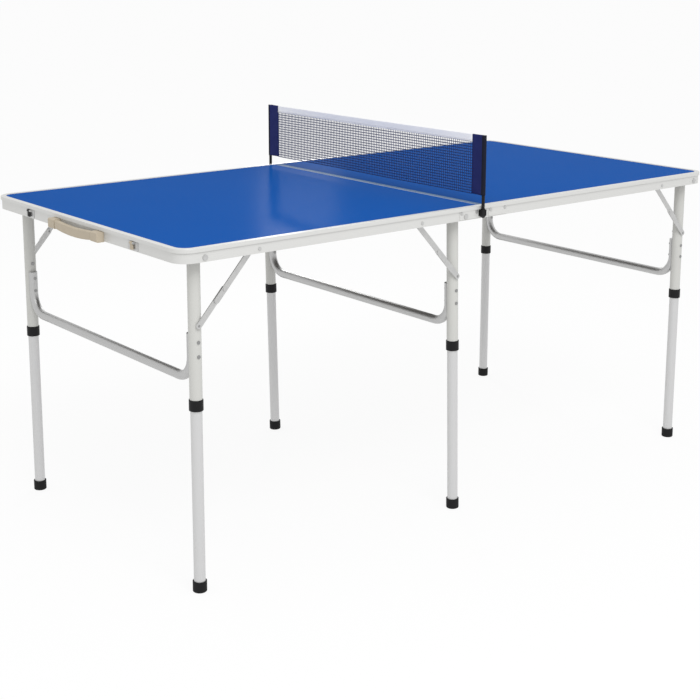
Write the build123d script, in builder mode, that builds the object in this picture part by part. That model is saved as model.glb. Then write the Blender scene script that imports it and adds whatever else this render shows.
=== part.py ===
"""Folding five-foot ping pong table: two hinged halves, three folding leg frames and a lift-off net.

Millimetres, +Z up. The origin is on the floor under the middle of the table. The length runs along X,
the handle end is at -X, and the near side is at -Y. Every length below stands alone or is worked out
from the lengths above it.
"""

import math
import os

from build123d import *

os.makedirs("parts", exist_ok=True)

# Table top
table_length = 1524.0
table_width = 762.0
table_height = 690.0
corner_radius = 36.0
panel_thickness = 4.0
panel_fit = 0.2

# Edge rail section
rail_height = 28.0
rail_wall = 1.6
lip_width = 12.0
lip_thickness = 1.0
lip_proud = 2.5
nose_height = 8.0
nose_fillet = 1.2
ledge_width = 6.0
ledge_thickness = 1.2

# Joint between the halves
joint_gap = 0.8
joint_setback = 6.2
joint_lip = 6.6
hinge_pin_x = 21.0
hinge_pin_height = 16.0
hinge_pin_diameter = 5.0
hinge_pin_head = 7.5
hinge_head_thickness = 1.4
link_width = 9.0
link_thickness = 2.0
link_clearance = 0.25
leaf_start = 15.0
leaf_end = 69.0
leaf_thickness = 1.2
leaf_bottom = 2.0
leaf_rivet_x = 64.0
running_fit = 0.1

# Leg frames: pivots, tubes and lean
leg_inset = 43.0
pivot_depth = 19.5
left_pivot_inset = 56.0
mid_pivot_inset = 52.0
right_pivot_inset = 42.0
mid_lean = 1.4
upper_tube_diameter = 25.0
upper_tube_wall = 0.9
upper_end_radius = 12.75
lower_tube_diameter = 23.0
lower_tube_wall = 1.2
plug_depth = 30.0
upper_length = 296.5

# Collars and feet
collar_diameter = 28.0
collar_below = 6.0
collar_above = 16.0
collar_fillet = 0.9
tube_fit = 0.1
foot_diameter = 28.0
foot_height = 22.0
foot_floor = 4.0
foot_fillet = 2.0

# Crossbars
bar_diameter = 19.0
bar_wall = 1.2
bar_drop = 245.5
bar_rise = 92.0
bar_bend = 46.0
bar_offset = 11.5
bar_gap = 0.3
bar_cap = 1.5
bar_rivet_rises = (78.0, 50.0)
rivet_diameter = 4.0
rivet_head = 7.0
rivet_head_thickness = 1.2

# Leg brackets and pivot bolts
bracket_length = 34.0
bracket_wall = 2.0
bracket_web = 1.5
bracket_clearance = 0.5
bracket_drop = 21.0
boss_diameter = 12.0
bolt_diameter = 6.0
bolt_head = 11.0
bolt_head_thickness = 1.8

# Folding braces
brace_reach = 122.0
brace_drop = 135.0
brace_width = 12.0
brace_thickness = 2.0
brace_layer_gap = 0.4
brace_washer = 1.7
brace_tail = 26.0
brace_pin = 5.0
brace_pin_head = 8.0
brace_head_thickness = 1.2

# Carrying handle
handle_length = 151.0
handle_thickness = 9.0
handle_end_height = 17.0
handle_grip_height = 20.0
handle_sag = 4.0
handle_standoff = 5.0
handle_pin_drop = 19.0
handle_pin_diameter = 4.0
handle_pin_depth = 7.0
handle_round = 3.0
handle_bracket_width = 26.0
handle_bracket_height = 20.0
handle_bracket_cover = 0.5
handle_gap = 0.3

# Latches and their tongues
latch_inset = 167.0
latch_plate_width = 36.0
latch_plate_height = 17.0
latch_plate_thickness = 1.2
latch_plate_drop = 9.0
latch_lever_width = 10.0
latch_lever_height = 13.0
latch_lever_thickness = 2.0
latch_knuckle = 5.0
latch_pin_diameter = 2.0
latch_ear_thickness = 2.0
latch_gap = 0.3
tongue_width = 20.0
tongue_grip = 16.0
tongue_reach = 20.0
tongue_thickness = 1.2
tongue_slot_width = 11.0
tongue_slot_height = 5.0

# Net, posts and sockets
net_x = -8.0
net_height = 150.0
net_clear = 22.0
post_diameter = 7.0
post_outset = 5.0
post_seat = 4.0
socket_width = 12.0
socket_depth = 12.0
socket_bottom = 7.0
socket_top = 19.5
socket_point = 5.5
sleeve_width = 40.0
sleeve_wall = 1.0
sleeve_hem = 2.4
tape_height = 16.0
tape_thickness = 2.4
mesh_thickness = 1.0
mesh_columns = 32
mesh_rows = 8
mesh_strand = 1.3
mesh_border = 4.0

# Places worked out from the lengths above
half_length = table_length / 2
half_width = table_width / 2
leg_y = half_width - leg_inset
latch_y = half_width - latch_inset
post_y = half_width + post_outset
rail_bottom = table_height - rail_height
skirt_y = half_width - lip_proud
skirt_inside = skirt_y - rail_wall
panel_top = table_height - lip_thickness
panel_under = panel_top - panel_thickness
nose_bottom = table_height - nose_height
pin_z = rail_bottom + hinge_pin_height
pivot_z = table_height - pivot_depth
upper_radius = upper_tube_diameter / 2
lower_radius = lower_tube_diameter / 2
bar_radius = bar_diameter / 2
bar_y = leg_y - bar_offset
bar_low = -bar_drop
bar_top = bar_low + bar_rise
bar_rivets = [bar_low + rise for rise in bar_rivet_rises]
link_outside = skirt_inside - link_clearance

# Layers beside each leg for the two links of its brace
lower_layer = leg_y + upper_radius + brace_washer
upper_layer = lower_layer + brace_thickness + brace_layer_gap


class Frame:
    """One leg frame: its name, pivot, lean and the way along X that it folds."""

    def __init__(self, name, pivot_x, fold, lean):
        self.name = name
        self.pivot_x = pivot_x
        self.fold = fold
        self.lean = math.radians(lean)
        # The outer edge of a leaning foot is what meets the floor
        dip = (foot_diameter / 2 - foot_fillet) * math.sin(self.lean)
        self.reach = (pivot_z - dip) / math.cos(self.lean)
        # The brace is straight when the leg stands, and folds flat along the leg
        self.stud = Vector(
            fold * brace_reach * math.cos(self.lean),
            -fold * brace_reach * math.sin(self.lean),
        )
        self.pin = Vector(0, -brace_drop)
        self.span = (self.pin - self.stud).length
        self.upper_link = (self.span + brace_drop - brace_reach) / 2
        self.lower_link = self.span - self.upper_link
        self.brace_way = (self.pin - self.stud) / self.span
        self.knee = self.stud + self.brace_way * self.upper_link

    def plane(self, along=0.0, y=0.0):
        """A plane across the legs, so far above the pivot, with its X along the table."""
        up = Vector(-math.sin(self.lean), 0, math.cos(self.lean))
        origin = Vector(self.pivot_x, y, pivot_z) + up * along
        return Plane(origin, x_dir=(math.cos(self.lean), 0, math.sin(self.lean)), z_dir=up)

    def side(self, y):
        """A plane beside the legs, its origin on the pivot and its normal towards -Y."""
        across = self.plane(0.0, y)
        return Plane(across.origin, x_dir=across.x_dir, z_dir=(0, -1, 0))

    def front(self):
        """The plane of both legs, its X across the table and its Y up the legs."""
        across = self.plane()
        return Plane(across.origin, x_dir=(0, 1, 0), z_dir=across.x_dir)


left_frame = Frame("left", -half_length + left_pivot_inset, 1, 0.0)
mid_frame = Frame("mid", -mid_pivot_inset, -1, mid_lean)
right_frame = Frame("right", half_length - right_pivot_inset, -1, 0.0)
frames = (left_frame, mid_frame, right_frame)
half_frames = {"left": (left_frame, mid_frame), "right": (right_frame,)}
half_sign = {"left": -1, "right": 1}


def save(built, name):
    """Labels a finished piece and writes its file."""
    built.part.label = name
    export_step(built.part, f"parts/{name}.step")


def beside(y):
    """A plane facing -Y at the given y, with X along the table and its own Y up."""
    return Plane.XZ.offset(-y)


def half_sketch(sign, inset, joint_end):
    """The outline of one half, drawn in from the table's edge, with round corners at its far end."""
    length = half_length - inset - joint_end
    with BuildSketch() as outline:
        with Locations((sign * (joint_end + length / 2), 0)):
            Rectangle(length, 2 * (half_width - inset))
        corners = outline.vertices().group_by(Axis.X)[0 if sign < 0 else -1]
        fillet(corners, corner_radius - inset)
    return outline.sketch


def rail_ring(sign, outer, inner, joint_end):
    """A ring round three sides of one half, open at the joint."""
    outside = half_sketch(sign, outer, joint_end)
    inside = half_sketch(sign, inner, -joint_setback)
    return outside, inside


def on_outline(edge, sign):
    """Whether an edge lies on the table's own outline, rather than inside the lip or at the joint."""
    middle = edge.center()
    if edge.geom_type == GeomType.CIRCLE:
        return edge.radius > corner_radius - lip_width / 2
    reach = lip_width / 4
    return abs(middle.Y) > half_width - reach or sign * middle.X > half_length - reach


def rail_holes(half):
    """Where the side skirts are drilled: (x, z, diameter)."""
    sign = half_sign[half]
    holes = [(sign * hinge_pin_x, pin_z, hinge_pin_diameter)]
    holes.append((sign * leaf_rivet_x, pin_z, rivet_diameter))
    for frame in half_frames[half]:
        holes.append((frame.pivot_x, pivot_z, bolt_diameter))
        holes.append((frame.pivot_x + frame.fold * brace_reach, pivot_z, bolt_diameter))
    return holes


# Table top panels, edge rails and joint rails
for half, sign in half_sign.items():
    lip_start = joint_gap / 2
    panel_joint = lip_start + rail_wall + panel_fit
    panel_outline = half_sketch(sign, lip_proud + rail_wall + panel_fit, panel_joint)
    with BuildPart() as panel:
        with BuildSketch(Plane.XY.offset(panel_under)):
            add(panel_outline)
        extrude(amount=panel_thickness)
    save(panel, f"{half}_panel")

    skirt_line = lip_proud + rail_wall
    bands = (
        (rail_ring(sign, lip_proud, skirt_line, joint_setback), rail_bottom, rail_height),
        (rail_ring(sign, 0.0, skirt_line, joint_gap / 2), nose_bottom, nose_height),
        (rail_ring(sign, 0.0, lip_width, joint_gap / 2), panel_top, lip_thickness),
        (
            rail_ring(sign, skirt_line, skirt_line + ledge_width, joint_setback),
            panel_under - ledge_thickness,
            ledge_thickness,
        ),
    )
    with BuildPart() as edge_rail:
        for (outside, inside), bottom, height in bands:
            with BuildSketch(Plane.XY.offset(bottom)):
                add(outside)
                add(inside, mode=Mode.SUBTRACT)
            extrude(amount=height)
        for x, z, diameter in rail_holes(half):
            with BuildSketch(Plane.XZ):
                with Locations((x, z)):
                    Circle(diameter / 2)
            extrude(amount=half_width, both=True, mode=Mode.SUBTRACT)
        top_edges = edge_rail.edges().group_by(Axis.Z)[-1]
        nose_edges = [edge for edge in top_edges if on_outline(edge, sign)]
        fillet(nose_edges, nose_fillet)
    save(edge_rail, f"{half}_edge_rail")

    rail_back = joint_setback + rail_wall
    profile = (
        (lip_start, table_height),
        (lip_start + joint_lip, table_height),
        (lip_start + joint_lip, panel_top),
        (lip_start + rail_wall, panel_top),
        (lip_start + rail_wall, panel_under),
        (rail_back + ledge_width, panel_under),
        (rail_back + ledge_width, panel_under - ledge_thickness),
        (rail_back, panel_under - ledge_thickness),
        (rail_back, rail_bottom),
        (joint_setback, rail_bottom),
        (joint_setback, nose_bottom),
        (lip_start, nose_bottom),
    )
    with BuildPart() as joint_rail:
        with BuildSketch(Plane.XZ):
            with BuildLine():
                Polyline([(sign * x, z) for x, z in profile], close=True)
            make_face()
        extrude(amount=half_width - lip_width - panel_fit, both=True)
    save(joint_rail, f"{half}_joint_rail")

# Leg brackets: a channel over each leg's top, with a boss that reaches the side skirt
channel_inside = upper_radius + bracket_clearance
channel_outside = channel_inside + bracket_wall
for half, members in half_frames.items():
    with BuildPart() as brackets:
        for frame in members:
            end = Plane.YZ.offset(frame.pivot_x - bracket_length / 2)
            with BuildSketch(end):
                with Locations((-leg_y, panel_under)):
                    Rectangle(2 * channel_outside, bracket_drop, align=(Align.CENTER, Align.MAX))
                with Locations((-leg_y, panel_under - bracket_web)):
                    Rectangle(
                        2 * channel_inside,
                        bracket_drop,
                        align=(Align.CENTER, Align.MAX),
                        mode=Mode.SUBTRACT,
                    )
            extrude(amount=bracket_length)
            with BuildSketch(beside(-leg_y - channel_outside)):
                with Locations((frame.pivot_x, pivot_z)):
                    Circle(boss_diameter / 2)
            extrude(amount=skirt_inside - leg_y - channel_outside)
            with BuildSketch(beside(-leg_y)):
                with Locations((frame.pivot_x, pivot_z)):
                    Circle(bolt_diameter / 2)
            extrude(amount=half_width - leg_y, both=True, mode=Mode.SUBTRACT)
        mirror(about=Plane.XZ)
    save(brackets, f"{half}_leg_brackets")

    # Pivot bolts run from the skirt, through the boss and the leg, to a nut inside
    with BuildPart() as bolts:
        for frame in members:
            inner_face = -leg_y + channel_outside
            head_face = skirt_y
            if abs(frame.pivot_x) < leaf_end:
                head_face += leaf_thickness
            for face, diameter, length in (
                (-head_face, bolt_head, bolt_head_thickness),
                (inner_face, bolt_diameter, head_face - leg_y + channel_outside),
                (inner_face + bolt_head_thickness, bolt_head, bolt_head_thickness),
            ):
                with BuildSketch(beside(face)):
                    with Locations((frame.pivot_x, pivot_z)):
                        Circle(diameter / 2)
                extrude(amount=length)
        mirror(about=Plane.XZ)
    save(bolts, f"{half}_leg_bolts")

    # Brace studs stand in from the skirt and carry the upper brace links
    with BuildPart() as studs:
        for frame in members:
            link_face = -upper_layer - brace_thickness - brace_layer_gap / 2
            pin_end = -upper_layer + brace_layer_gap / 2
            for face, diameter, length in (
                (-skirt_y, rivet_head, rivet_head_thickness),
                (-skirt_inside, bolt_diameter, rail_wall),
                (link_face, boss_diameter, skirt_inside + link_face),
                (pin_end, brace_pin, pin_end - link_face),
                (pin_end + brace_head_thickness, brace_pin_head, brace_head_thickness),
            ):
                with BuildSketch(beside(face)):
                    with Locations((frame.pivot_x + frame.fold * brace_reach, pivot_z)):
                        Circle(diameter / 2)
                extrude(amount=length)
        mirror(about=Plane.XZ)
    save(studs, f"{half}_brace_studs")

# Main hinge: a leaf plate on each skirt outside, and a pair of links inside between two pins
for half, sign in half_sign.items():
    leaf_top = nose_bottom - panel_fit
    with BuildPart() as leaves:
        with BuildSketch(beside(-skirt_y)):
            with Locations((sign * (leaf_start + leaf_end) / 2, (rail_bottom + leaf_bottom + leaf_top) / 2)):
                Rectangle(leaf_end - leaf_start, leaf_top - rail_bottom - leaf_bottom)
            for x, z, diameter in rail_holes(half):
                with Locations((x, z)):
                    Circle(diameter / 2, mode=Mode.SUBTRACT)
        extrude(amount=leaf_thickness)
        mirror(about=Plane.XZ)
    save(leaves, f"{half}_hinge_leaves")

    leaf_face = -skirt_y - leaf_thickness
    head_inside = -link_outside + link_thickness + link_clearance
    with BuildPart() as pins:
        for x, face, diameter, length in (
            (hinge_pin_x, leaf_face, hinge_pin_head, hinge_head_thickness),
            (hinge_pin_x, head_inside, hinge_pin_diameter, head_inside - leaf_face),
            (hinge_pin_x, head_inside + hinge_head_thickness, hinge_pin_head, hinge_head_thickness),
            (leaf_rivet_x, leaf_face, rivet_head, rivet_head_thickness),
            (leaf_rivet_x, -skirt_inside, rivet_diameter, rail_wall + leaf_thickness),
        ):
            with BuildSketch(beside(face)):
                with Locations((sign * x, pin_z)):
                    Circle(diameter / 2)
            extrude(amount=length)
        mirror(about=Plane.XZ)
    save(pins, f"{half}_hinge_pins")

with BuildPart() as links:
    with BuildSketch(beside(-link_outside + link_thickness)):
        with Locations((0, pin_z)):
            SlotCenterToCenter(2 * hinge_pin_x, link_width)
        with Locations((-hinge_pin_x, pin_z), (hinge_pin_x, pin_z)):
            Circle(hinge_pin_diameter / 2 + running_fit, mode=Mode.SUBTRACT)
    extrude(amount=link_thickness)
    mirror(about=Plane.XZ)
save(links, "hinge_links")

# Leg frames
for frame in frames:
    name = frame.name
    for side_name, side in (("near", -1), ("far", 1)):
        # Upper tube, rounded about its pivot so that it turns under the panel
        with BuildPart() as upper_leg:
            with BuildSketch(frame.plane(-upper_length)):
                with Locations((0, side * leg_y)):
                    Circle(upper_radius)
                    Circle(upper_radius - upper_tube_wall, mode=Mode.SUBTRACT)
            extrude(amount=upper_length + upper_tube_diameter)
            with BuildSketch(frame.side(side * leg_y)):
                Rectangle(
                    2 * upper_tube_diameter,
                    2 * upper_tube_diameter,
                    align=(Align.CENTER, Align.MIN),
                )
                Circle(upper_end_radius, mode=Mode.SUBTRACT)
            extrude(amount=upper_tube_diameter, both=True, mode=Mode.SUBTRACT)
            holes = [(0.0, bolt_diameter + 2 * running_fit), (-brace_drop, brace_pin)]
            holes += [(along, rivet_diameter) for along in bar_rivets]
            with BuildSketch(frame.side(side * leg_y)):
                for z, diameter in holes:
                    with Locations((0, z)):
                        Circle(diameter / 2)
            extrude(amount=upper_tube_diameter, both=True, mode=Mode.SUBTRACT)
        save(upper_leg, f"upper_leg_{name}_{side_name}")

        # Lower tube, plugged into the upper one
        with BuildPart() as lower_leg:
            with BuildSketch(frame.plane(foot_floor - frame.reach)):
                with Locations((0, side * leg_y)):
                    Circle(lower_radius)
                    Circle(lower_radius - lower_tube_wall, mode=Mode.SUBTRACT)
            extrude(amount=frame.reach - foot_floor - upper_length + plug_depth)
        save(lower_leg, f"lower_leg_{name}_{side_name}")

    # Collars on the lower tubes, each with a ledge that the upper tube stands on
    with BuildPart() as collars:
        with BuildSketch(frame.plane(-upper_length - collar_below)):
            with Locations((0, -leg_y)):
                Circle(collar_diameter / 2)
        extrude(amount=collar_below + collar_above)
        fillet(collars.edges().filter_by(GeomType.CIRCLE), collar_fillet)
        for along, radius, length in (
            (-upper_length - collar_below, lower_radius + tube_fit / 2, collar_below),
            (-upper_length, upper_radius + tube_fit, collar_above),
        ):
            with BuildSketch(frame.plane(along)):
                with Locations((0, -leg_y)):
                    Circle(radius)
            extrude(amount=length, mode=Mode.SUBTRACT)
        mirror(about=Plane.XZ)
    save(collars, f"collars_{name}")

    # Foot caps over the ends of the lower tubes
    with BuildPart() as feet:
        with BuildSketch(frame.plane(-frame.reach)):
            with Locations((0, -leg_y)):
                Circle(foot_diameter / 2)
        extrude(amount=foot_height)
        fillet(feet.edges().sort_by(Axis.Z)[0], foot_fillet)
        with BuildSketch(frame.plane(foot_floor - frame.reach)):
            with Locations((0, -leg_y)):
                Circle(lower_radius + tube_fit / 2)
        extrude(amount=foot_height, mode=Mode.SUBTRACT)
        mirror(about=Plane.XZ)
    save(feet, f"feet_{name}")

    # Crossbar: one bent tube whose shut ends are hollowed to lie round the legs
    with BuildPart() as crossbar:
        with BuildLine(frame.front()):
            FilletPolyline(
                (-bar_y, bar_top),
                (-bar_y, bar_low),
                (bar_y, bar_low),
                (bar_y, bar_top),
                radius=bar_bend,
            )
        with BuildSketch(frame.plane(bar_top)):
            with Locations((0, -bar_y)):
                Circle(bar_radius)
                Circle(bar_radius - bar_wall, mode=Mode.SUBTRACT)
        sweep()
        with BuildSketch(frame.plane(bar_top - bar_cap)):
            with Locations((0, -bar_y), (0, bar_y)):
                Circle(bar_radius)
        extrude(amount=bar_cap)
        with BuildSketch(frame.plane(-upper_length)):
            with Locations((0, -leg_y), (0, leg_y)):
                Circle(upper_radius + bar_gap)
        extrude(amount=upper_length, mode=Mode.SUBTRACT)
        with BuildSketch(frame.side(0)):
            for along in bar_rivets:
                with Locations((0, along)):
                    Circle(rivet_diameter / 2)
        extrude(amount=leg_y, both=True, mode=Mode.SUBTRACT)
    save(crossbar, f"crossbar_{name}")

    # Rivets: two through each crossbar end, and one that carries the lower brace link
    outer_face = -leg_y - upper_radius
    bar_face = -bar_y + bar_radius
    inner_face = -leg_y + upper_radius
    with BuildPart() as rivets:
        for along in bar_rivets:
            for face, diameter, length in (
                (bar_face, rivet_diameter, bar_face - outer_face),
                (outer_face, rivet_head, rivet_head_thickness),
                (bar_face + rivet_head_thickness, rivet_head, rivet_head_thickness),
            ):
                with BuildSketch(frame.side(face)):
                    with Locations((0, along)):
                        Circle(diameter / 2)
                extrude(amount=length)
        for face, diameter, length in (
            (inner_face + brace_head_thickness, brace_pin_head, brace_head_thickness),
            (inner_face, brace_pin, inner_face + lower_layer + brace_thickness),
            (outer_face, brace_pin_head, brace_washer - brace_layer_gap / 2),
        ):
            with BuildSketch(frame.side(face)):
                with Locations(frame.pin):
                    Circle(diameter / 2)
            extrude(amount=length)
        mirror(about=Plane.XZ)
    save(rivets, f"frame_rivets_{name}")

    # Brace links: the upper one runs on past the knee, and carries the knee's rivet
    slope = math.degrees(math.atan2(frame.brace_way.Y, frame.brace_way.X))
    upper_end = frame.upper_link + brace_tail
    with BuildPart() as upper_links:
        with BuildSketch(frame.side(-upper_layer)):
            with Locations(frame.stud + frame.brace_way * upper_end / 2):
                SlotCenterToCenter(upper_end, brace_width, rotation=slope)
            with Locations(frame.stud):
                Circle(brace_pin / 2 + running_fit, mode=Mode.SUBTRACT)
        extrude(amount=brace_thickness)
        with BuildSketch(frame.side(-upper_layer - brace_thickness)):
            with Locations(frame.knee):
                Circle(brace_pin_head / 2)
        extrude(amount=brace_head_thickness)
        mirror(about=Plane.XZ)
    save(upper_links, f"upper_links_{name}")

    with BuildPart() as lower_links:
        with BuildSketch(frame.side(-lower_layer)):
            with Locations((frame.pin + frame.knee) / 2):
                SlotCenterToCenter(frame.lower_link, brace_width, rotation=slope)
            with Locations(frame.pin, frame.knee):
                Circle(brace_pin / 2 + running_fit, mode=Mode.SUBTRACT)
        extrude(amount=brace_thickness)
        mirror(about=Plane.XZ)
    save(lower_links, f"lower_links_{name}")

# Carrying handle: a curved grip between two end brackets on the left end
skirt_end = half_length - lip_proud
handle_inside = half_length + handle_standoff
handle_pin_x = -handle_inside - handle_thickness / 2
handle_pin_z = table_height - handle_pin_drop
grip_end = handle_length / 2
grip_neck = grip_end - handle_end_height
end_half = handle_end_height / 2
grip_half = handle_grip_height / 2
with BuildPart() as handle:
    with BuildSketch(Plane.YZ.offset(-handle_inside)):
        with BuildLine():
            top = handle_pin_z + end_half
            bottom = handle_pin_z - end_half
            middle = handle_pin_z - handle_sag
            Line((-grip_end, bottom), (-grip_end, top))
            Line((-grip_end, top), (-grip_neck, top))
            ThreePointArc((-grip_neck, top), (0, middle + grip_half), (grip_neck, top))
            Line((grip_neck, top), (grip_end, top))
            Line((grip_end, top), (grip_end, bottom))
            ThreePointArc((grip_end, bottom), (0, middle - grip_half), (-grip_end, bottom))
        make_face()
    extrude(amount=-handle_thickness)
    for face in (handle.faces().sort_by(Axis.X)[0], handle.faces().sort_by(Axis.X)[-1]):
        fillet(face.edges(), handle_round)
    with BuildSketch(beside(-grip_end)):
        with Locations((handle_pin_x, handle_pin_z)):
            Circle(handle_pin_diameter / 2 + running_fit)
    extrude(amount=-handle_pin_depth - handle_gap, mode=Mode.SUBTRACT)
    with BuildSketch(beside(grip_end)):
        with Locations((handle_pin_x, handle_pin_z)):
            Circle(handle_pin_diameter / 2 + running_fit)
    extrude(amount=handle_pin_depth + handle_gap, mode=Mode.SUBTRACT)
save(handle, "handle_grip")

bracket_face = -grip_end - handle_gap
with BuildPart() as handle_brackets:
    with BuildSketch(beside(bracket_face)):
        with Locations((-skirt_end, handle_pin_z)):
            Rectangle(
                handle_inside + handle_thickness + handle_bracket_cover - skirt_end,
                handle_bracket_height,
                align=(Align.MAX, Align.CENTER),
            )
    extrude(amount=handle_bracket_width)
    outer_edges = handle_brackets.edges().filter_by(Axis.Y).group_by(Axis.X)[0]
    fillet(outer_edges, handle_round)
    with BuildSketch(beside(bracket_face)):
        with Locations((handle_pin_x, handle_pin_z)):
            Circle(handle_pin_diameter / 2)
    extrude(amount=-handle_pin_depth)
    mirror(about=Plane.XZ)
save(handle_brackets, "handle_brackets")

# Latches: a plate with two ears and a pin on the left end, and a lever that turns on the pin
plate_face = -skirt_end - latch_plate_thickness
plate_top = table_height - latch_plate_drop
latch_pin_x = plate_face - latch_knuckle / 2 - latch_gap
latch_pin_z = plate_top - latch_knuckle / 2
ear_inside = latch_lever_width / 2 + latch_gap
with BuildPart() as latch_plates:
    with BuildSketch(Plane.YZ.offset(-skirt_end)):
        with Locations((-latch_y, plate_top)):
            Rectangle(latch_plate_width, latch_plate_height, align=(Align.CENTER, Align.MAX))
    extrude(amount=-latch_plate_thickness)
    for ear in (-latch_y - ear_inside, -latch_y + ear_inside + latch_ear_thickness):
        with BuildSketch(beside(ear)):
            with Locations((latch_pin_x, latch_pin_z)):
                Circle(latch_knuckle / 2)
            with Locations((plate_face, latch_pin_z)):
                Rectangle(
                    latch_knuckle / 2 + latch_gap,
                    latch_knuckle,
                    align=(Align.MAX, Align.CENTER),
                )
        extrude(amount=latch_ear_thickness)
    with BuildSketch(beside(-latch_y + ear_inside)):
        with Locations((latch_pin_x, latch_pin_z)):
            Circle(latch_pin_diameter / 2)
    extrude(amount=2 * ear_inside)
    mirror(about=Plane.XZ)
save(latch_plates, "latch_plates")

for side_name, side in (("near", -1), ("far", 1)):
    with BuildPart() as lever:
        with BuildSketch(beside(side * latch_y + latch_lever_width / 2)):
            with Locations((latch_pin_x, latch_pin_z)):
                Circle(latch_knuckle / 2)
                Rectangle(
                    latch_lever_thickness,
                    latch_lever_height,
                    align=(Align.CENTER, Align.MAX),
                )
                Circle(latch_pin_diameter / 2 + running_fit, mode=Mode.SUBTRACT)
        extrude(amount=latch_lever_width)
    save(lever, f"latch_lever_{side_name}")

# Tongues on the right end, which go up inside the left end when the table is shut
tongue_face = skirt_end - rail_wall
with BuildPart() as tongues:
    with BuildSketch(Plane.YZ.offset(tongue_face)):
        with Locations((-latch_y, rail_bottom)):
            Rectangle(tongue_width, tongue_grip, align=(Align.CENTER, Align.MIN))
    extrude(amount=-tongue_thickness)
    with BuildSketch(Plane.YZ.offset(tongue_face - tongue_thickness / 2)):
        with Locations((-latch_y, rail_bottom - tongue_reach)):
            Rectangle(
                tongue_width,
                tongue_reach + tongue_grip / 2,
                align=(Align.CENTER, Align.MIN),
            )
        with Locations((-latch_y, rail_bottom - tongue_reach + tongue_slot_height)):
            Rectangle(
                tongue_slot_width,
                tongue_slot_height,
                align=(Align.CENTER, Align.MIN),
                mode=Mode.SUBTRACT,
            )
    extrude(amount=-tongue_thickness)
    mirror(about=Plane.XZ)
save(tongues, "latch_tongues")

# Net set: sockets on the left half, and two posts, sleeves, tape and mesh that lift out together
net_top = table_height + net_height
net_bottom = table_height + net_clear
socket_floor = rail_bottom + socket_bottom
with BuildPart() as sockets:
    with BuildSketch(Plane.XY.offset(socket_floor)):
        with Locations((net_x, -skirt_y)):
            Rectangle(socket_width, socket_depth, align=(Align.CENTER, Align.MAX))
    extrude(amount=socket_top - socket_bottom)
    with BuildSketch(Plane.XY.offset(socket_floor)):
        with Locations((net_x, -skirt_y)):
            Rectangle(socket_width, socket_depth, align=(Align.CENTER, Align.MAX))
    with BuildSketch(Plane.XY.offset(socket_floor - socket_point)):
        with Locations((net_x, -post_y)):
            Rectangle(socket_width / 4, socket_depth / 4)
    loft()
    with BuildSketch(Plane.XY.offset(socket_floor + post_seat)):
        with Locations((net_x, -post_y)):
            Circle(post_diameter / 2 + running_fit)
    extrude(amount=rail_height, mode=Mode.SUBTRACT)
    mirror(about=Plane.XZ)
save(sockets, "net_sockets")

with BuildPart() as posts:
    with BuildSketch(Plane.XY.offset(socket_floor + post_seat)):
        with Locations((net_x, -post_y)):
            Circle(post_diameter / 2)
    extrude(amount=net_top - socket_floor - post_seat)
    mirror(about=Plane.XZ)
save(posts, "net_posts")

sleeve_end = post_y + post_diameter / 2 + sleeve_wall
mesh_end = sleeve_end - sleeve_width
with BuildPart() as sleeves:
    with BuildSketch(Plane.XY.offset(net_bottom)):
        with Locations((net_x, -post_y)):
            Circle(post_diameter / 2 + sleeve_wall)
        with Locations((net_x, -mesh_end)):
            Rectangle(sleeve_hem, post_y - mesh_end, align=(Align.CENTER, Align.MAX))
        with Locations((net_x, -post_y)):
            Circle(post_diameter / 2, mode=Mode.SUBTRACT)
    extrude(amount=net_top - net_bottom)
    mirror(about=Plane.XZ)
save(sleeves, "net_sleeves")

with BuildPart() as tape:
    with BuildSketch(Plane.XY.offset(net_top - tape_height)):
        with Locations((net_x, 0)):
            Rectangle(tape_thickness, 2 * mesh_end)
    extrude(amount=tape_height)
save(tape, "net_tape")

mesh_height = net_top - tape_height - net_bottom
mesh_pitch_y = (2 * mesh_end - 2 * mesh_border) / mesh_columns
mesh_pitch_z = (mesh_height - 2 * mesh_border) / mesh_rows
with BuildPart() as mesh:
    with BuildSketch(Plane.YZ.offset(net_x - mesh_thickness / 2)):
        with Locations((0, net_bottom + mesh_height / 2)):
            Rectangle(2 * mesh_end, mesh_height)
            with GridLocations(mesh_pitch_y, mesh_pitch_z, mesh_columns, mesh_rows):
                Rectangle(
                    mesh_pitch_y - mesh_strand,
                    mesh_pitch_z - mesh_strand,
                    mode=Mode.SUBTRACT,
                )
    extrude(amount=mesh_thickness)
save(mesh, "net_mesh")
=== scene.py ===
# %% [markdown]
# A folding ping pong table stands on a pale studio floor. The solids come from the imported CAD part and
# stay where they are. This lesson gives each of them its finish, and makes the pieces that are cloth:
# the net, its white tape and its two end sleeves.

# %% The frame
import math

import bmesh
import bpy
from mathutils import Matrix, Vector


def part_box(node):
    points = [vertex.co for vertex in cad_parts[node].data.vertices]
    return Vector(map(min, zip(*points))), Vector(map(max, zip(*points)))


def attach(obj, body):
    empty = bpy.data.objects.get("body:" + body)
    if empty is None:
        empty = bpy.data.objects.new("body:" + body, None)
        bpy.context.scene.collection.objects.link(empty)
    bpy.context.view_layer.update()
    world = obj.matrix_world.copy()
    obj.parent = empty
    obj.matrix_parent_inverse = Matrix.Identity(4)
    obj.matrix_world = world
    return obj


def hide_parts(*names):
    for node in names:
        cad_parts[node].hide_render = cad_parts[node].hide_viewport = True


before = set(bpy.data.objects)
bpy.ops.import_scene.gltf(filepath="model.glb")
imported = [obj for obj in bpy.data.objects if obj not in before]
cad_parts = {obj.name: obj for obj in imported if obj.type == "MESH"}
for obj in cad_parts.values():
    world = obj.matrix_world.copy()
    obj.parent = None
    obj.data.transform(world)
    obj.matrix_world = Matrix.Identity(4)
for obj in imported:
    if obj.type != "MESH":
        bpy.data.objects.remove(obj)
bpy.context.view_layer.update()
MM = 0.001

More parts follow.
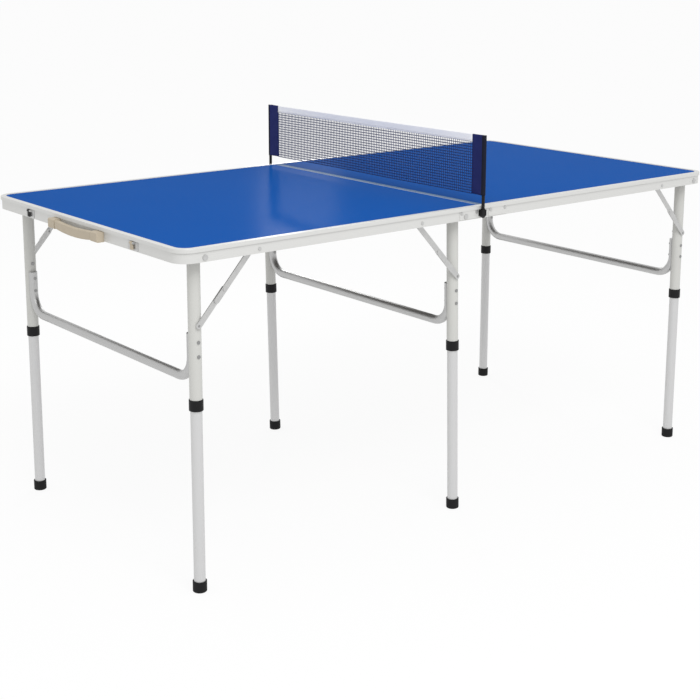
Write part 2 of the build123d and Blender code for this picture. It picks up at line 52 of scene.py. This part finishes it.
# %% [markdown]
# A finish changes over a surface by small sums: a base roughness plus a share of some noise, say. Wiring
# Math nodes by hand hides the sum that they make. So a socket is wrapped in a class whose plus, minus and
# times add the nodes, and the sum can be read as it is written.

# %% Shader sums
class Value:
    """A number that changes over a surface. Sums of it add Math nodes."""

    def __init__(self, network, socket):
        self.network = network
        self.socket = socket

    def sum(self, operation, first, second):
        """Adds one Math node and gives its result."""
        made = self.network.node("ShaderNodeMath", {"operation": operation}, {0: first, 1: second})
        return Value(self.network, made.outputs[0])

    def __add__(self, other):
        return self.sum("ADD", self, other)

    def __sub__(self, other):
        return self.sum("SUBTRACT", self, other)

    def __rsub__(self, other):
        return self.sum("SUBTRACT", other, self)

    def __mul__(self, other):
        return self.sum("MULTIPLY", self, other)

    def __gt__(self, other):
        return self.sum("GREATER_THAN", self, other)

    def __abs__(self):
        return self.sum("ABSOLUTE", self, 0.0)

    __radd__ = __add__
    __rmul__ = __mul__


print("shader sums ready")

# %% [markdown]
# Materials and the sky are both trees of nodes. One method adds any node: its settings are set first,
# because they can change which sockets it has, and then each socket gets a constant or a link. The same
# class tells the rays that show a backdrop from those that only carry light.

# %% Node networks
class Network:
    """A tree of nodes, with one way to add to it."""

    def __init__(self, tree):
        self.tree = tree

    def feed(self, node, socket, value):
        """Links a socket to a Value or an output, or sets a constant on it."""
        if isinstance(value, Value):
            value = value.socket
        if isinstance(value, bpy.types.NodeSocket):
            self.tree.links.new(value, node.inputs[socket])
            return
        if isinstance(value, tuple) and len(value) == 3 and node.inputs[socket].type == "RGBA":
            value = (*value, 1.0)
        node.inputs[socket].default_value = value

    def node(self, kind, settings=None, inputs=None):
        """Adds a node: its settings first, then the values or links of its sockets."""
        made = self.tree.nodes.new(kind)
        for name, value in (settings or {}).items():
            setattr(made, name, value)
        for socket, value in (inputs or {}).items():
            self.feed(made, socket, value)
        return made

    def seen(self):
        """1 for a ray from the camera, off a shiny face or through a clear one, and 0 for any other."""
        rays = self.node("ShaderNodeLightPath").outputs
        kinds = ("Is Camera Ray", "Is Glossy Ray", "Is Transmission Ray")
        camera_ray, shiny_ray, clear_ray = (Value(self, rays[kind]) for kind in kinds)
        return camera_ray + shiny_ray + clear_ray


print("node networks ready")

# %% [markdown]
# A finish is a material with one Principled shader. Its patterns are made from where a point lies in its
# own piece and not from a flat map, so no piece has to be unwrapped, and the pattern stays on the piece
# when it folds. What is the same all over is set straight on the shader.

# %% Finishes
# A wave texture at a scale of 1 turns through this many radians in a metre.
WAVE_TURN = 20.0


class Finish(Network):
    """A material with a Principled shader, whose constant settings are given as socket names."""

    def __init__(self, name, settings):
        self.material = bpy.data.materials.new(name)
        self.material.use_nodes = True
        super().__init__(self.material.node_tree)
        self.shader = self.tree.nodes["Principled BSDF"]
        for socket, value in settings.items():
            self.feed(self.shader, socket, value)

    def place(self, stretch=(1.0, 1.0, 1.0)):
        """Where a point is in the piece's own frame, squeezed or stretched along each axis."""
        where = self.node("ShaderNodeTexCoord").outputs["Object"]
        return self.node("ShaderNodeMapping", None, {"Vector": where, "Scale": stretch}).outputs[0]

    def along(self, axis):
        """How far a point is along the piece's own X, Y or Z, in metres."""
        parts = self.node("ShaderNodeSeparateXYZ", None, {0: self.place()})
        return Value(self, parts.outputs[axis])

    def noise(self, per_metre, detail=2.0, stretch=(1.0, 1.0, 1.0)):
        """Soft noise from 0 to 1, with about so many lumps to the metre."""
        inputs = {"Vector": self.place(stretch), "Scale": per_metre, "Detail": detail}
        return Value(self, self.node("ShaderNodeTexNoise", None, inputs).outputs[0])

    def ridges(self, per_metre, axis):
        """Even ridges from 0 to 1, one after another along an axis."""
        settings = {"wave_type": "BANDS", "bands_direction": axis}
        scale = per_metre * math.tau / WAVE_TURN
        inputs = {"Vector": self.place(), "Scale": scale, "Distortion": 0.0, "Detail": 0.0}
        return Value(self, self.node("ShaderNodeTexWave", settings, inputs).outputs["Fac"])

    def faces_up(self):
        """1 where the surface faces up in the piece's own frame, and 0 elsewhere."""
        normal = self.node("ShaderNodeTexCoord").outputs["Normal"]
        rise = Value(self, self.node("ShaderNodeSeparateXYZ", None, {0: normal}).outputs[2])
        return rise > 0.5

    def blend(self, share, first, second):
        """A colour between two, by a Value from 0 to 1."""
        settings = {"data_type": "RGBA"}
        return self.node("ShaderNodeMix", settings, {0: share, 6: first, 7: second}).outputs[2]

    def colour(self, value):
        """Sets what the surface's colour follows."""
        self.feed(self.shader, "Base Color", value)

    def roughness(self, value):
        """Sets what the surface's roughness follows."""
        self.feed(self.shader, "Roughness", value)

    def bump(self, height, depth):
        """Raises the surface by a Value times a depth in metres."""
        inputs = {"Strength": 1.0, "Distance": depth, "Height": height}
        self.feed(self.shader, "Normal", self.node("ShaderNodeBump", None, inputs).outputs[0])


def paint(finish, *nodes):
    """Gives CAD nodes a finish."""
    for name in nodes:
        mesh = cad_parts[name].data
        mesh.materials.clear()
        mesh.materials.append(finish.material)


print("finishes ready for", len(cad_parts), "nodes")

# %% [markdown]
# The top is fibreboard. Its upper face has smooth blue paint with a soft sheen, and a faint orange peel
# from the roller. Its under face is bare dark board. Two materials could do this, but the face's own
# normal tells the two apart, so one material serves and the mesh needs no face groups. The normal is
# taken in the piece's own frame, so the colours stay on their faces when a half is folded.

# %% Blue top
blue_light = (0.0100, 0.0890, 0.3640)
blue_deep = (0.0090, 0.0820, 0.3430)
board_dark = (0.1000, 0.0940, 0.0880)
board_light = (0.1300, 0.1230, 0.1150)

top = Finish("blue playing surface", {"Specular IOR Level": 0.0003})
paint_colour = top.blend(top.noise(3.0, detail=3.0), blue_light, blue_deep)
fibre = top.noise(260.0, detail=4.0, stretch=(1.0, 0.25, 1.0))
board_colour = top.blend(fibre, board_dark, board_light)
top.colour(top.blend(top.faces_up(), board_colour, paint_colour))
top.roughness(0.21 + 0.06 * top.noise(40.0, detail=4.0))
top.bump(top.noise(900.0), 0.04 * MM)
paint(top, "left_panel", "right_panel")
print("painted the panels")

# %% [markdown]
# The edge rail is an aluminium extrusion with a pale satin coat. Fine lines run along it from the die.
# Modelled lines would be too thin to see, so noise is squeezed across the rail and drawn out along it.
# The two rails at the joint have a blue-grey coat on top, which blends with the blue beside it, and the
# pale coat below. They share the top's way of telling one side from the other.

# %% Pale edge rails
halves = ("left", "right")
rail_light = (0.640, 0.640, 0.625)
rail_dark = (0.590, 0.590, 0.577)
strip_light = (0.16, 0.25, 0.39)
strip_dark = (0.13, 0.21, 0.34)
strip_under = (0.590, 0.590, 0.576)

rail = Finish("pale edge rail", {"Specular IOR Level": 0.45, "Metallic": 0.15})
drawn = rail.noise(90.0, detail=3.0, stretch=(0.06, 0.06, 9.0))
rail.colour(rail.blend(drawn, rail_light, rail_dark))
rail.roughness(0.34 + 0.12 * drawn)
rail.bump(drawn, 0.02 * MM)

strip = Finish("blue-grey joint strip", {"Specular IOR Level": 0.002})
rubbed = strip.noise(90.0, detail=3.0, stretch=(9.0, 0.06, 1.0))
strip_top = strip.blend(rubbed, strip_light, strip_dark)
strip.colour(strip.blend(strip.faces_up(), strip_under, strip_top))
strip.roughness(0.40 + 0.12 * rubbed)
for half in halves:
    paint(rail, f"{half}_edge_rail", f"{half}_hinge_leaves")
    paint(strip, f"{half}_joint_rail")
print("painted the rails of", len(halves), "halves")

# %% [markdown]
# The upper legs are white powder-coated tube, which has a very fine pebble. The lower legs are thinner
# anodised tube, a little greyer, with lines drawn along them. The crossbars are bare polished tube, and
# fine scratches along them break up what they reflect. One pale grey could serve from afar, but the three
# shine in different ways, so each has its own finish, and only the crossbars are fully metallic.

# %% Leg tubes
frames = ("left", "mid", "right")
powder_light = (0.570, 0.570, 0.545)
powder_dark = (0.525, 0.525, 0.503)
anodised_light = (0.612, 0.612, 0.612)
anodised_dark = (0.557, 0.557, 0.559)
polished_light = (0.55, 0.55, 0.545)
polished_dark = (0.47, 0.47, 0.47)

powder = Finish("white powder coat", {"Specular IOR Level": 0.42})
pebble = powder.noise(1400.0)
powder.colour(powder.blend(powder.noise(14.0, detail=3.0), powder_light, powder_dark))
powder.roughness(0.32 + 0.10 * pebble)
powder.bump(pebble, 0.02 * MM)

anodised = Finish("pale anodised tube", {"Metallic": 0.30, "Specular IOR Level": 0.45})
streaks = anodised.noise(220.0, detail=3.0, stretch=(9.0, 9.0, 0.10))
anodised.colour(anodised.blend(streaks, anodised_light, anodised_dark))
anodised.roughness(0.30 + 0.14 * streaks)
anodised.bump(streaks, 0.01 * MM)

polished = Finish("polished crossbar", {"Metallic": 1.0})
scratches = polished.noise(150.0, detail=3.0, stretch=(9.0, 0.12, 9.0))
polished.colour(polished.blend(scratches, polished_light, polished_dark))
polished.roughness(0.38 + 0.10 * scratches)

for name in frames:
    paint(powder, f"upper_leg_{name}_near", f"upper_leg_{name}_far")
    paint(anodised, f"lower_leg_{name}_near", f"lower_leg_{name}_far")
    paint(polished, f"crossbar_{name}")
print("painted the legs of", len(frames), "frames")

# %% [markdown]
# Braces, plates and brackets are zinc-plated steel: grey, with the cloudy crystals that plating leaves.
# One noise would give either clouds or grain, so there are two, of different sizes. The legs' rivets are
# plain steel, darker and without the crystals.

# %% Plated steel
plated_light = (0.62, 0.62, 0.61)
plated_dark = (0.48, 0.48, 0.48)
steel_light = (0.36, 0.36, 0.36)
steel_dark = (0.26, 0.26, 0.26)

plated = Finish("zinc plate", {"Metallic": 0.85})
grain = plated.noise(700.0)
plated.colour(plated.blend(plated.noise(120.0, detail=4.0), plated_light, plated_dark))
plated.roughness(0.34 + 0.18 * grain)
plated.bump(grain, 0.02 * MM)

steel = Finish("dull rivet steel", {"Metallic": 0.9})
worn = steel.noise(300.0, detail=3.0)
steel.colour(steel.blend(worn, steel_light, steel_dark))
steel.roughness(0.36 + 0.16 * worn)

for name in frames:
    paint(plated, f"upper_links_{name}", f"lower_links_{name}")
    paint(steel, f"frame_rivets_{name}")
for half in halves:
    for piece in ("leg_brackets", "leg_bolts", "brace_studs", "hinge_pins"):
        paint(plated, f"{half}_{piece}")
paint(plated, "hinge_links", "latch_plates", "latch_tongues")
print("painted the steel")

# %% [markdown]
# Collars, feet and sockets are black moulded plastic with a fine leather-like grain. The far latch lever
# gets the same black as painted shade: it stands for the shade in its slot, though it is the same part as
# the near lever. The handle and the near lever are the same kind of plastic in beige. They differ only in
# tone, gloss and grain, so one recipe makes them all.

# %% Moulded plastic
black_tones = (0.0065, 0.0065, 0.0075), (0.0040, 0.0040, 0.0045)
rubber_tones = (0.0085, 0.0085, 0.0090), (0.0050, 0.0050, 0.0055)
beige_tones = (0.490, 0.425, 0.330), (0.440, 0.380, 0.290)


def moulded(name, tones, roughness, grains_per_metre, depth):
    """Moulded plastic: two close tones, and a grain pressed in by the mould."""
    finish = Finish(name, {"Specular IOR Level": 0.22})
    texture = finish.noise(grains_per_metre, detail=3.0)
    finish.colour(finish.blend(finish.noise(35.0), *tones))
    finish.roughness(roughness + 0.15 * texture)
    finish.bump(texture, depth)
    return finish


black = moulded("black plastic and painted slot shade", black_tones, roughness=0.46, grains_per_metre=900.0, depth=0.06 * MM)
rubber = moulded("black rubber", rubber_tones, roughness=0.62, grains_per_metre=500.0, depth=0.10 * MM)
beige = moulded("beige plastic", beige_tones, roughness=0.45, grains_per_metre=800.0, depth=0.06 * MM)
for name in frames:
    paint(black, f"collars_{name}")
    paint(rubber, f"feet_{name}")
# The far latch lever is black as painted shade for its slot; the near lever, the same part, is beige.
paint(black, "latch_lever_far", "net_sockets", "net_posts")
paint(beige, "handle_grip", "handle_brackets", "latch_lever_near")
print("painted the plastics")

# %% [markdown]
# Cloth shows its weave. Real threads would be far too many to model, so two sets of even ridges, one along
# and one up, stand for them. They drive a bump, and they darken the gaps between threads a little as
# painted shade. A seam is a thin line at a fixed distance along one axis, cut into stitches by slower
# ridges along the other. The stitches are pressed in, and darkened as painted shade in their dents.

# %% Woven cloth
stitch_width = 0.9 * MM
stitches_per_metre = 260.0
stitch_share = 0.35
# The stitches are darkened to this share of their thread's tone, as painted shade in their dents.
stitch_shade = 0.55
stitch_dip = 2.0
weave_depth = 0.12 * MM
tape_hem = 2.5 * MM
sleeve_hem = 3.0 * MM
# Each pair is a thread's tone, then a darker tone for the gaps between threads, which is painted shade.
navy_tones = (0.020, 0.028, 0.135), (0.010, 0.014, 0.078)
webbing_tones = (0.012, 0.013, 0.026), (0.007, 0.008, 0.016)
white_tones = (0.93, 0.93, 0.94), (0.84, 0.84, 0.86)
netting_tones = (0.028, 0.046, 0.150), (0.018, 0.030, 0.100)


def woven(name, tones, threads_per_metre, seam=None):
    """Plain weave: the thread's tone, and its gaps' darker tone, which is painted shade. A seam is (axis,
    distance, axis that it runs along).
    """
    thread, gap_painted_shade = tones
    finish = Finish(name, {"Specular IOR Level": 0.15})
    along, up = (finish.ridges(threads_per_metre, axis) for axis in ("Y", "Z"))
    weave = 0.5 * (along + up)
    # The gaps between threads get the darker tone as painted shade.
    colour = finish.blend(weave, gap_painted_shade, thread)
    height = weave
    if seam:
        axis, distance, run = seam
        line = stitch_width / 2 - abs(abs(finish.along(axis)) - distance) > 0.0
        stitch = line * (finish.ridges(stitches_per_metre, run) > stitch_share)
        # The stitches are darkened as painted shade in their dents.
        colour = finish.blend(stitch, colour, tuple(stitch_shade * part for part in thread))
        height = weave - stitch_dip * stitch
    finish.colour(colour)
    finish.roughness(0.75 + 0.15 * finish.noise(60.0))
    finish.bump(height, weave_depth)
    return finish


tape_seam = ("Z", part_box("net_tape")[0][2] + tape_hem, "Y")
sleeve_seam = ("Y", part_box("net_mesh")[1][1] + sleeve_hem, "Z")
navy = woven("navy cloth", navy_tones, threads_per_metre=900.0, seam=sleeve_seam)
dark_cloth = woven("dark webbing", webbing_tones, threads_per_metre=900.0)
white_cloth = woven("white tape", white_tones, threads_per_metre=1100.0, seam=tape_seam)
netting = woven("dark netting", netting_tones, threads_per_metre=2500.0)
print("wove four cloths")

# %% [markdown]
# Every cloth piece is a sheet of four-sided faces between rows of points. A row follows one line of the
# cloth, and one function joins the rows. A cloth simulation could drape them, but all three pieces are
# stretched or sewn tight, so their shapes are worked out. A modifier then gives a sheet its thickness.

# %% Sheets of cloth
def new_sheet(name, body, finishes, patches):
    """Makes one mesh from patches, each a list of rows of points, and lets it ride on a CAD body."""
    mesh = bpy.data.meshes.new(name)
    bm = bmesh.new()
    for rows in patches:
        lines = [[bm.verts.new(point) for point in row] for row in rows]
        for one, two in zip(lines, lines[1:]):
            for i in range(len(one) - 1):
                face = bm.faces.new((one[i], one[i + 1], two[i + 1], two[i]))
                face.smooth = True
    bm.to_mesh(mesh)
    bm.free()
    piece = bpy.data.objects.new(name, mesh)
    bpy.context.scene.collection.objects.link(piece)
    for finish in finishes:
        mesh.materials.append(finish.material)
    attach(piece, body)
    return piece


def thicken(piece, thickness):
    """Gives a sheet an even thickness, half to each side."""
    layer = piece.modifiers.new("cloth", "SOLIDIFY")
    layer.thickness = thickness
    layer.offset = 0.0


def steps(low, high, count):
    """Evenly spaced numbers, both ends included."""
    return [low + (high - low) * step / count for step in range(count + 1)]


def length_of(points):
    """The length of a line of points."""
    return sum((Vector(b) - Vector(a)).length for a, b in zip(points, points[1:]))


print("cloth helpers ready")

# %% [markdown]
# The net is knotted cord. Hundreds of curves would be slow, so it is a grid of small squares with
# Blender's Wireframe modifier, which turns each edge into a thin strand. The grid bellies a little
# between the posts, because a real net is never a flat plate.

# %% Net
net_low, net_high = (Vector(corner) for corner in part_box("net_mesh"))
net_plane = (net_low.x + net_high.x) / 2
net_cell = 6.0 * MM
net_strand = 1.8 * MM
net_belly = 2.0 * MM
belly_turn = 9.0


def belly(y, z):
    """How far the net stands out of its plane: most in the middle, with slow ripples."""
    along = (y - net_low.y) / (net_high.y - net_low.y)
    slack = (net_high.z - z) / (net_high.z - net_low.z)
    return net_belly * slack * math.sin(math.pi * along) * math.cos(belly_turn * along)


net_columns = round((net_high.y - net_low.y) / net_cell)
net_rows = round((net_high.z - net_low.z) / net_cell)
net_grid = [
    [(net_plane + belly(y, z), y, z) for y in steps(net_low.y, net_high.y, net_columns)]
    for z in steps(net_low.z, net_high.z, net_rows)
]
net = new_sheet("net", "net_set", [netting], [net_grid])
strands = net.modifiers.new("strands", "WIREFRAME")
strands.thickness = net_strand
strands.use_boundary = True
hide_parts("net_mesh")
print("net of", net_columns, "by", net_rows, "squares")

# %% [markdown]
# The white tape is one strip of cloth folded over the top of the net and sewn through. A box could stand
# for it, but would show no fold. So a profile of the fold, drawn once, is carried along the net. Small
# ripples keep it from looking like a plastic bar.

# %% Tape
tape_low, tape_high = (Vector(corner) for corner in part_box("net_tape"))
tape_cloth = 0.5 * MM
tape_half = (tape_high.x - tape_low.x - tape_cloth) / 2
tape_crown = tape_high.z - tape_half - tape_cloth / 2
tape_ripple = 0.5 * MM
ripple_turn = 37.0
tape_dip = 0.8 * MM
fold_steps = 8
side_steps = 12
tape_steps = 120

fold = [(-tape_half, z) for z in steps(tape_low.z, tape_crown, side_steps)[:-1]]
far_side = [(-x, z) for x, z in reversed(fold)]
for angle in steps(math.pi, 0.0, fold_steps):
    fold.append((tape_half * math.cos(angle), tape_crown + tape_half * math.sin(angle)))
fold += far_side


def tape_row(along):
    """The fold at one place along the tape, a little out of line and a little low."""
    y = tape_low.y + (tape_high.y - tape_low.y) * along
    slack = math.sin(math.pi * along)
    aside = net_plane + tape_ripple * math.sin(ripple_turn * along) * slack
    return [(aside + x, y, z - tape_dip * slack ** 2) for x, z in fold]


tape_rows = [tape_row(along) for along in steps(0.0, 1.0, tape_steps)]
tape = new_sheet("tape", "net_set", [white_cloth], [tape_rows])
thicken(tape, tape_cloth)
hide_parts("net_tape")
print("tape", round((tape_high.y - tape_low.y) / MM), "mm long")

# %% [markdown]
# Each sleeve is a strip of cloth pulled round its post: round where the post fills it, and flat where
# its two layers are sewn to the net. A plain tube would miss the flat part, so each row follows a
# teardrop, and soft creases move its points in and out. The part round the post is dark webbing, and the
# rest is navy.

# %% Sleeves
sleeve_low, sleeve_high = (Vector(corner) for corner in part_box("net_sleeves"))
sleeve_cloth = 0.5 * MM
pocket = (sleeve_high.x - sleeve_low.x - sleeve_cloth) / 2
post_line = sleeve_high.y - pocket - sleeve_cloth / 2
hem_half = 1.1 * MM
hem_flare = 2.4
crease = 0.5 * MM
crease_turn_up = 150.0
crease_turn_along = 60.0
sleeve_steps = 40
round_steps = 18
hem_steps = 10

teardrop = []
for share in steps(0.0, 1.0, hem_steps)[:-1]:
    width = hem_half + (pocket - hem_half) * share ** hem_flare
    teardrop.append((width, net_high.y + (post_line - net_high.y) * share))
hem = [(-x, y) for x, y in reversed(teardrop)]
for angle in steps(0.0, math.pi, round_steps):
    teardrop.append((pocket * math.cos(angle), post_line + pocket * math.sin(angle)))
teardrop += hem


def sleeve_row(z, side):
    """The teardrop at one height on one side of the table, with its creases."""
    row = []
    for x, y in teardrop:
        share = min(1.0, (y - net_high.y) / (post_line - net_high.y))
        turn = crease_turn_up * z + crease_turn_along * y
        bend = crease * math.sin(math.pi * share) * math.sin(turn)
        row.append((net_plane + x + bend, side * y, z))
    return row


sleeve_patches = [
    [sleeve_row(z, side) for z in steps(sleeve_low.z, sleeve_high.z, sleeve_steps)]
    for side in (-1, 1)
]
sleeves = new_sheet("sleeves", "net_set", [navy, dark_cloth], sleeve_patches)
for polygon in sleeves.data.polygons:
    polygon.material_index = int(abs(polygon.center.y) > post_line - pocket / 2)
thicken(sleeves, sleeve_cloth)
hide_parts("net_sleeves")
sleeve_cut = (length_of(sleeve_patches[0][0]), 2 * (sleeve_high.z - sleeve_low.z))
print("sleeves cut", round(sleeve_cut[0] / MM), "mm wide")

# %% [markdown]
# The floor is one large pale sheet, which takes the table's shadow. It could be lit until it looks white,
# but so much light would wash out the object. So it is mixed with plain white for the camera and for
# reflections. It also glows of itself, like a lit sweep, so that the far legs aren't left dark.

# %% Floor
white = (1.0, 1.0, 1.0)
floor_pale = (0.9, 0.9, 0.9)
floor_size = 80.0
floor_white = 0.90
floor_glow = 0.80

floor_mesh = bpy.data.meshes.new("floor")
bm = bmesh.new()
bmesh.ops.create_grid(bm, x_segments=1, y_segments=1, size=floor_size / 2)
bm.to_mesh(floor_mesh)
bm.free()
floor = bpy.data.objects.new("floor", floor_mesh)
bpy.context.scene.collection.objects.link(floor)

studio = Finish("studio floor", {"Base Color": floor_pale, "Roughness": 0.9, "Specular IOR Level": 0.0})
glow = studio.node("ShaderNodeEmission", None, {"Color": white, "Strength": 1.0}).outputs[0]
glow_share = floor_glow + (floor_white - floor_glow) * studio.seen()
mix_inputs = {0: glow_share, 1: studio.shader.outputs[0], 2: glow}
mixed = studio.node("ShaderNodeMixShader", None, mix_inputs).outputs[0]
studio.feed(studio.tree.nodes["Material Output"], "Surface", mixed)
floor_mesh.materials.append(studio.material)
print("floor", floor_size, "m wide")

# %% [markdown]
# The light is plain and soft: a pale sky all round, a large lamp above the camera's right shoulder, and
# a small one beyond the table whose reflection gives the top its soft glint. A sky of one strength would
# be too bright for the object or too grey to look at. So it is greyer as a light than as a backdrop, low
# views stay white up to the top, and metal reflects the same white.

# %% Sky
sky_light = 0.80
sky_backdrop = 0.97

world = bpy.data.worlds.new("studio")
bpy.context.scene.world = world
world.use_nodes = True
sky = Network(world.node_tree)
background = sky.tree.nodes["Background"]
sky.feed(background, "Color", white)
sky.feed(background, "Strength", sky_light + (sky_backdrop - sky_light) * sky.seen())
print("sky of", sky_light, "as a light and", sky_backdrop, "as a backdrop")

# %% [markdown]
# A lamp could be a sun, but its hard shadows suit a street and not a studio. An area lamp is as soft as
# it is large. The glint's lamp is wide and not high, so that its reflection stays short along the top.

# %% Lamps
def soft_lamp(name, place, target, size, power):
    """An area lamp, so wide and so high, that points at a target."""
    lamp = bpy.data.lights.new(name, "AREA")
    lamp.shape = "RECTANGLE"
    lamp.size, lamp.size_y = size
    lamp.energy = power
    holder = bpy.data.objects.new(name, lamp)
    holder.location = place
    holder.rotation_euler = (Vector(target) - Vector(place)).to_track_quat("-Z", "Y").to_euler()
    bpy.context.scene.collection.objects.link(holder)


key_place = (-1.1, -2.7, 3.5)
key_target = (0.0, 0.0, 0.6)
glint_place = (1.031, 1.647, 1.164)
glint_target = (-0.438, -0.310, 0.69)
soft_lamp("key", key_place, key_target, size=(2.0, 2.0), power=78.0)
soft_lamp("glint", glint_place, glint_target, size=(0.28, 0.06), power=4.2)
print("lamps", [light.name for light in bpy.data.lights])

# %% [markdown]
# The camera stands where the photographer stood. The upright legs look nearly parallel in the picture,
# which a level camera with a shifted lens gives. The shift is kept small, so other views stay framed, and
# the camera looks down a little to make up for it.

# %% Camera
picture_pixels = 700.0
focal_pixels = 1387.7
sensor = 36.0
lens_shift = -0.15
sight = 200.0
camera_place = (-2.0566, -2.4667, 1.2122)
camera_angles = (51.005, 11.826, 0.158)
azimuth, drop, roll = (math.radians(angle) for angle in camera_angles)

ahead = Vector((math.cos(azimuth) * math.cos(drop), math.sin(azimuth) * math.cos(drop), -math.sin(drop)))
level_side = ahead.cross(Vector((0, 0, 1))).normalized()
level_up = level_side.cross(ahead)
camera_side = math.cos(roll) * level_side + math.sin(roll) * level_up
camera_up = math.cos(roll) * level_up - math.sin(roll) * level_side

lens = bpy.data.cameras.new("camera")
lens.sensor_width = sensor
lens.lens = focal_pixels / picture_pixels * sensor
lens.shift_y = lens_shift
lens.clip_end = sight
camera = bpy.data.objects.new("camera", lens)
camera_axes = Matrix((camera_side, camera_up, -ahead)).transposed().to_4x4()
camera.matrix_world = Matrix.Translation(camera_place) @ camera_axes
bpy.context.scene.collection.objects.link(camera)
bpy.context.scene.camera = camera
bpy.context.scene.view_settings.view_transform = "Standard"
print("lens", round(lens.lens, 1), "mm")
